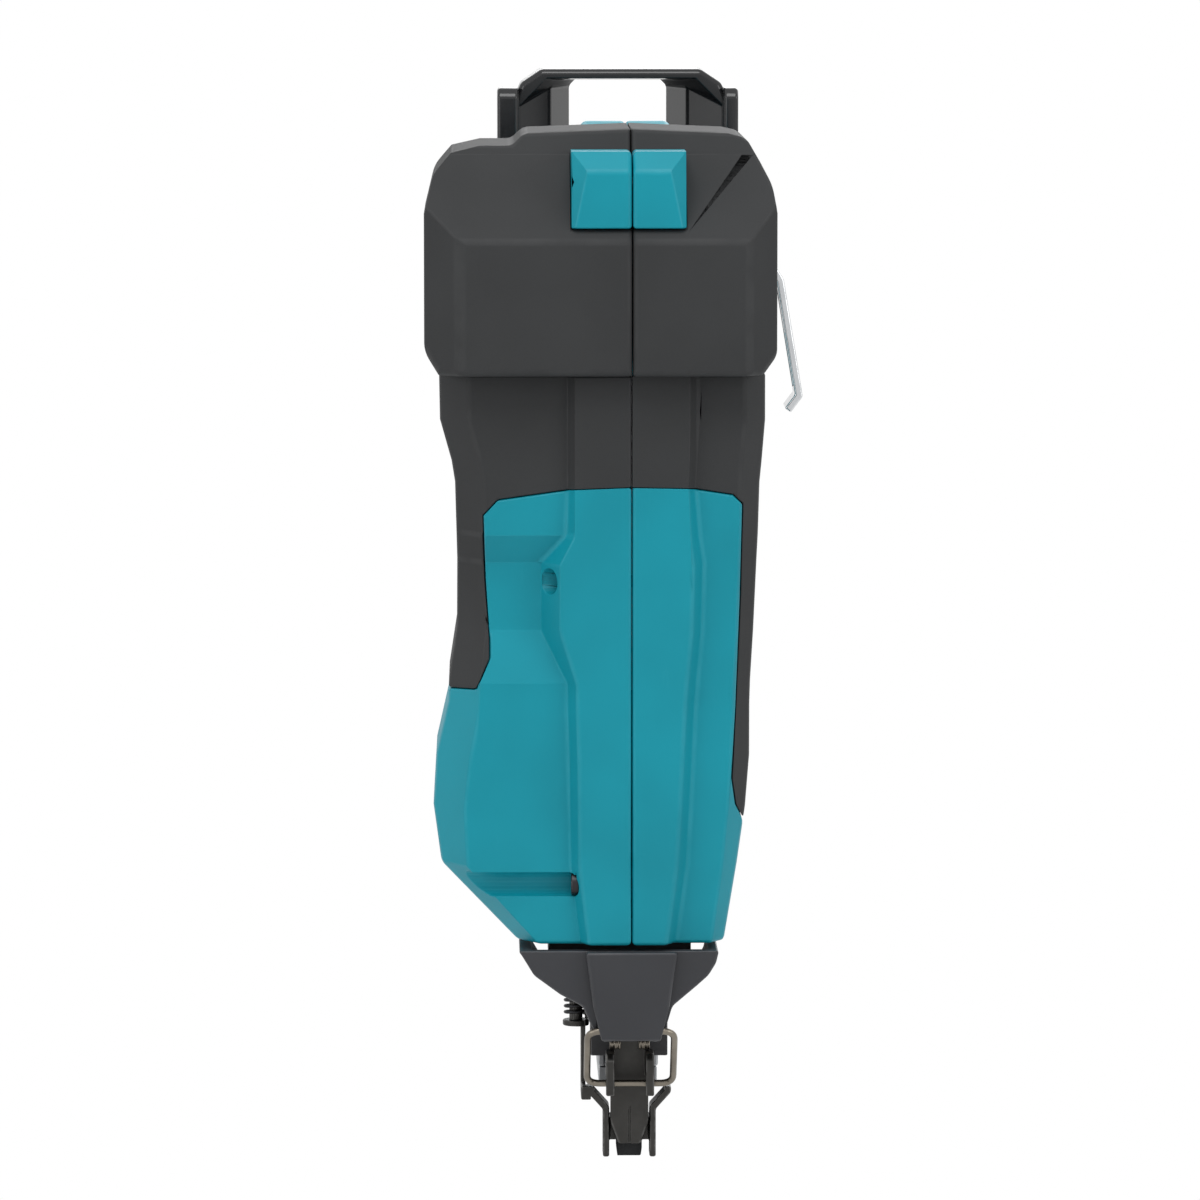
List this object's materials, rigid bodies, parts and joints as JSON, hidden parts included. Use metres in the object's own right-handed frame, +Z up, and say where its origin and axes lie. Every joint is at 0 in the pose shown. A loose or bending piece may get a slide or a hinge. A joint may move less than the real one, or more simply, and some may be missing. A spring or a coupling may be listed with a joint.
{
  "type": "cordless brad nailer",
  "caption": "Cordless brad nailer held nose down: split housing with soft bumper, sprung contact foot, latched nose plate, rear magazine, D-shaped handle, foot with hoop, and slide-on battery.",
  "frame": {"origin": "on the flat contact face of the nose tip, 4 mm behind the way that the driver and nail take through it", "axes": "+Z up along the driver, tool standing nose down; -Y is the front of the tool; +Y runs back along handle and magazine; +X is the user's left, the right of the picture"},
  "size_m": [0.1201, 0.3234, 0.3165],
  "materials": {
    "teal_plastic": "fine textured, matte",
    "elastomer": "fine textured soft over-mould",
    "gloss_black": "polished",
    "black_plastic": "satin",
    "black_steel": "black oxide",
    "wire_steel": "bronzed wire",
    "chrome": "bright plated",
    "aluminium": "machined",
    "cast_alloy": "dark coated casting",
    "hard_steel": "ground",
    "copper": "wound",
    "urethane": "moulded",
    "board": "laminate",
    "lens": "clear, frosted inside",
    "cell_wrap": "shrink film",
    "button_grey": "satin"
  },
  "bodies": {
    "tool": {"housing_right": "teal_plastic", "housing_left": "teal_plastic", "head_bumper_right": "elastomer", "head_bumper_left": "elastomer", "overmould_right": "elastomer", "overmould_left": "elastomer", "handle_grip_right": "elastomer", "handle_grip_left": "elastomer", "housing_screw_top": "black_steel", "housing_screw_middle": "black_steel", "housing_screw_bottom": "black_steel", "housing_screw_foot": "black_steel", "nose_cover": "black_plastic", "latch_pin": "hard_steel", "nose_body": "cast_alloy", "nose_plate": "black_steel", "hinge_bush_right": "wire_steel", "hinge_bush_left": "wire_steel", "contact_spring": "black_steel", "cylinder": "aluminium", "drive_bumper": "urethane", "air_chamber": "aluminium", "front_bearing": "hard_steel", "rear_bearing": "hard_steel", "gear_case": "aluminium", "ring_gear": "hard_steel", "motor_stator": "black_steel", "magazine_channel": "cast_alloy", "nail_strip": "hard_steel", "trigger_switch": "black_plastic", "controller_board": "board", "terminal_block": "black_plastic", "battery_rails": "gloss_black", "rear_hoop": "gloss_black", "belt_hook": "chrome", "belt_hook_screw": "black_steel", "work_lamp": "lens"},
    "contact_foot": {"contact_arm": "black_steel", "nose_tip": "elastomer"},
    "lever": {"latch_lever": "black_plastic"},
    "bail": {"latch_bail": "wire_steel"},
    "driver": {"driver_blade": "hard_steel", "piston": "aluminium", "piston_seal": "black_plastic"},
    "lifter": {"lifter_wheel": "hard_steel", "planet_carrier": "hard_steel"},
    "planet_a": {"planet_gear_1": "hard_steel"},
    "planet_b": {"planet_gear_2": "hard_steel"},
    "planet_c": {"planet_gear_3": "hard_steel"},
    "rotor": {"motor_rotor": "copper", "motor_fan": "black_plastic"},
    "track": {"magazine_track": "black_steel"},
    "track_latch": {"magazine_latch": "black_plastic"},
    "pusher": {"nail_pusher": "black_plastic", "pusher_spring": "hard_steel"},
    "trigger": {"trigger": "black_plastic"},
    "power_button": {"power_button": "button_grey"},
    "battery": {"battery_case": "black_plastic", "battery_cells": "cell_wrap"},
    "battery_release": {"battery_button": "button_grey"}
  },
  "joints": [
    {"name": "contact_slide", "type": "slide", "parent": "tool", "child": "contact_foot", "axis": [0, 0, 1], "range_m": [0, 0.006], "stiffness_N_per_m": 900, "springref_m": -0.006, "deforming": ["contact_spring"]},
    {"name": "lever_pivot", "type": "hinge", "parent": "tool", "child": "lever", "pos_m": [0, -0.0286, 0.042], "axis": [1, 0, 0], "range_deg": [0, 60]},
    {"name": "bail_pivot", "type": "hinge", "parent": "lever", "child": "bail", "pos_m": [0, -0.0336, 0.042], "axis": [1, 0, 0], "range_deg": [-61, 0]},
    {"name": "lifter_turn", "type": "hinge", "parent": "tool", "child": "lifter", "pos_m": [-0.0275, -0.004, 0.116], "axis": [0, 1, 0], "range_deg": [0, 206.5]},
    {"name": "driver_slide", "type": "slide", "parent": "tool", "child": "driver", "axis": [0, 0, 1], "range_m": [-0.072, 0]},
    {"name": "rotor_spin", "type": "hinge", "parent": "tool", "child": "rotor", "pos_m": [-0.0275, -0.004, 0.116], "axis": [0, 1, 0], "range_deg": [0, 826]},
    {"name": "planet_a_spin", "type": "hinge", "parent": "lifter", "child": "planet_a", "pos_m": [-0.0166, 0.012, 0.116], "axis": [0, 1, 0], "range_deg": [-465, 0]},
    {"name": "planet_b_spin", "type": "hinge", "parent": "lifter", "child": "planet_b", "pos_m": [-0.03295, 0.012, 0.12544], "axis": [0, 1, 0], "range_deg": [-465, 0]},
    {"name": "planet_c_spin", "type": "hinge", "parent": "lifter", "child": "planet_c", "pos_m": [-0.03295, 0.012, 0.10656], "axis": [0, 1, 0], "range_deg": [-465, 0]},
    {"name": "track_slide", "type": "slide", "parent": "tool", "child": "track", "axis": [0, 1, 0], "range_m": [0, 0.16]},
    {"name": "track_latch_pivot", "type": "hinge", "parent": "track", "child": "track_latch", "pos_m": [0, 0.203, 0.0245], "axis": [-1, 0, 0], "range_deg": [0, 10], "stiffness_Nm_per_rad": 0.4, "springref_deg": -5.73},
    {"name": "pusher_slide", "type": "slide", "parent": "track", "child": "pusher", "axis": [0, 1, 0], "range_m": [0, 0.09], "stiffness_N_per_m": 60, "springref_m": -0.05},
    {"name": "trigger_pivot", "type": "hinge", "parent": "tool", "child": "trigger", "pos_m": [0, 0.058, 0.265], "axis": [1, 0, 0], "range_deg": [0, 10], "stiffness_Nm_per_rad": 0.8, "springref_deg": -8.59},
    {"name": "power_press", "type": "slide", "parent": "tool", "child": "power_button", "axis": [0, 1, 0], "range_m": [0, 0.001], "stiffness_N_per_m": 800, "springref_m": -0.001},
    {"name": "battery_slide", "type": "slide", "parent": "tool", "child": "battery", "axis": [0, 0, -1], "range_m": [0, 0.1]},
    {"name": "battery_release_press", "type": "slide", "parent": "battery", "child": "battery_release", "axis": [0, -1, 0], "range_m": [0, 0.0014], "stiffness_N_per_m": 800, "springref_m": -0.001}
  ],
  "couplings": [
    {"joint": "bail_pivot", "follows": "lever_pivot", "ratio": -1},
    {"joint": "lifter_turn", "follows": "driver_slide", "rad_per_m": -50},
    {"joint": "rotor_spin", "follows": "driver_slide", "rad_per_m": -200},
    {"joint": "planet_a_spin", "follows": "driver_slide", "rad_per_m": 112.5},
    {"joint": "planet_b_spin", "follows": "driver_slide", "rad_per_m": 112.5},
    {"joint": "planet_c_spin", "follows": "driver_slide", "rad_per_m": 112.5}
  ]
}
